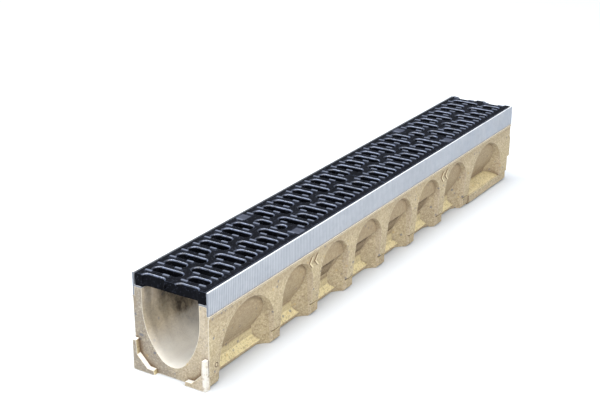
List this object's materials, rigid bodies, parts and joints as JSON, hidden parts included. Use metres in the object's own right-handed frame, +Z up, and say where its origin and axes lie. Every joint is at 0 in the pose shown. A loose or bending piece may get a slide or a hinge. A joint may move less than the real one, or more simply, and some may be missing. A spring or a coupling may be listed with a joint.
{
  "type": "channel drain",
  "caption": "Straight linear drainage channel: a ribbed polymer-concrete trough with cast-in steel edge rails, under drop-in slotted cast-iron grates held by spring clips.",
  "frame": {"origin": "middle of the bounding box in plan, on the underside", "axes": "+Y along the channel, from the keyed end to the socketed end; +X across it; +Z up, towards the grates"},
  "size_m": [0.135, 1.008, 0.152],
  "materials": {
    "polymer_concrete": "fine-grained tan cast polymer concrete, matt",
    "galvanised_steel": "hot-dip galvanised sheet, satin",
    "ductile_iron": "black dip-coated ductile iron, satin",
    "clip_polymer": "dark grey moulded polyamide, matt"
  },
  "bodies": {
    "channel": {"channel_body": "polymer_concrete", "edge_rail_left": "galvanised_steel", "edge_rail_right": "galvanised_steel"},
    "near_grate": {"grate_near": "ductile_iron", "lock_clip_near_left": "clip_polymer", "lock_clip_near_right": "clip_polymer"},
    "far_grate": {"grate_far": "ductile_iron", "lock_clip_far_left": "clip_polymer", "lock_clip_far_right": "clip_polymer"}
  },
  "joints": [
    {"name": "near_grate_lift", "type": "slide", "parent": "channel", "child": "near_grate", "axis": [0, 0, 1], "range_m": [0, 0.08]},
    {"name": "far_grate_lift", "type": "slide", "parent": "channel", "child": "far_grate", "axis": [0, 0, 1], "range_m": [0, 0.08]}
  ]
}
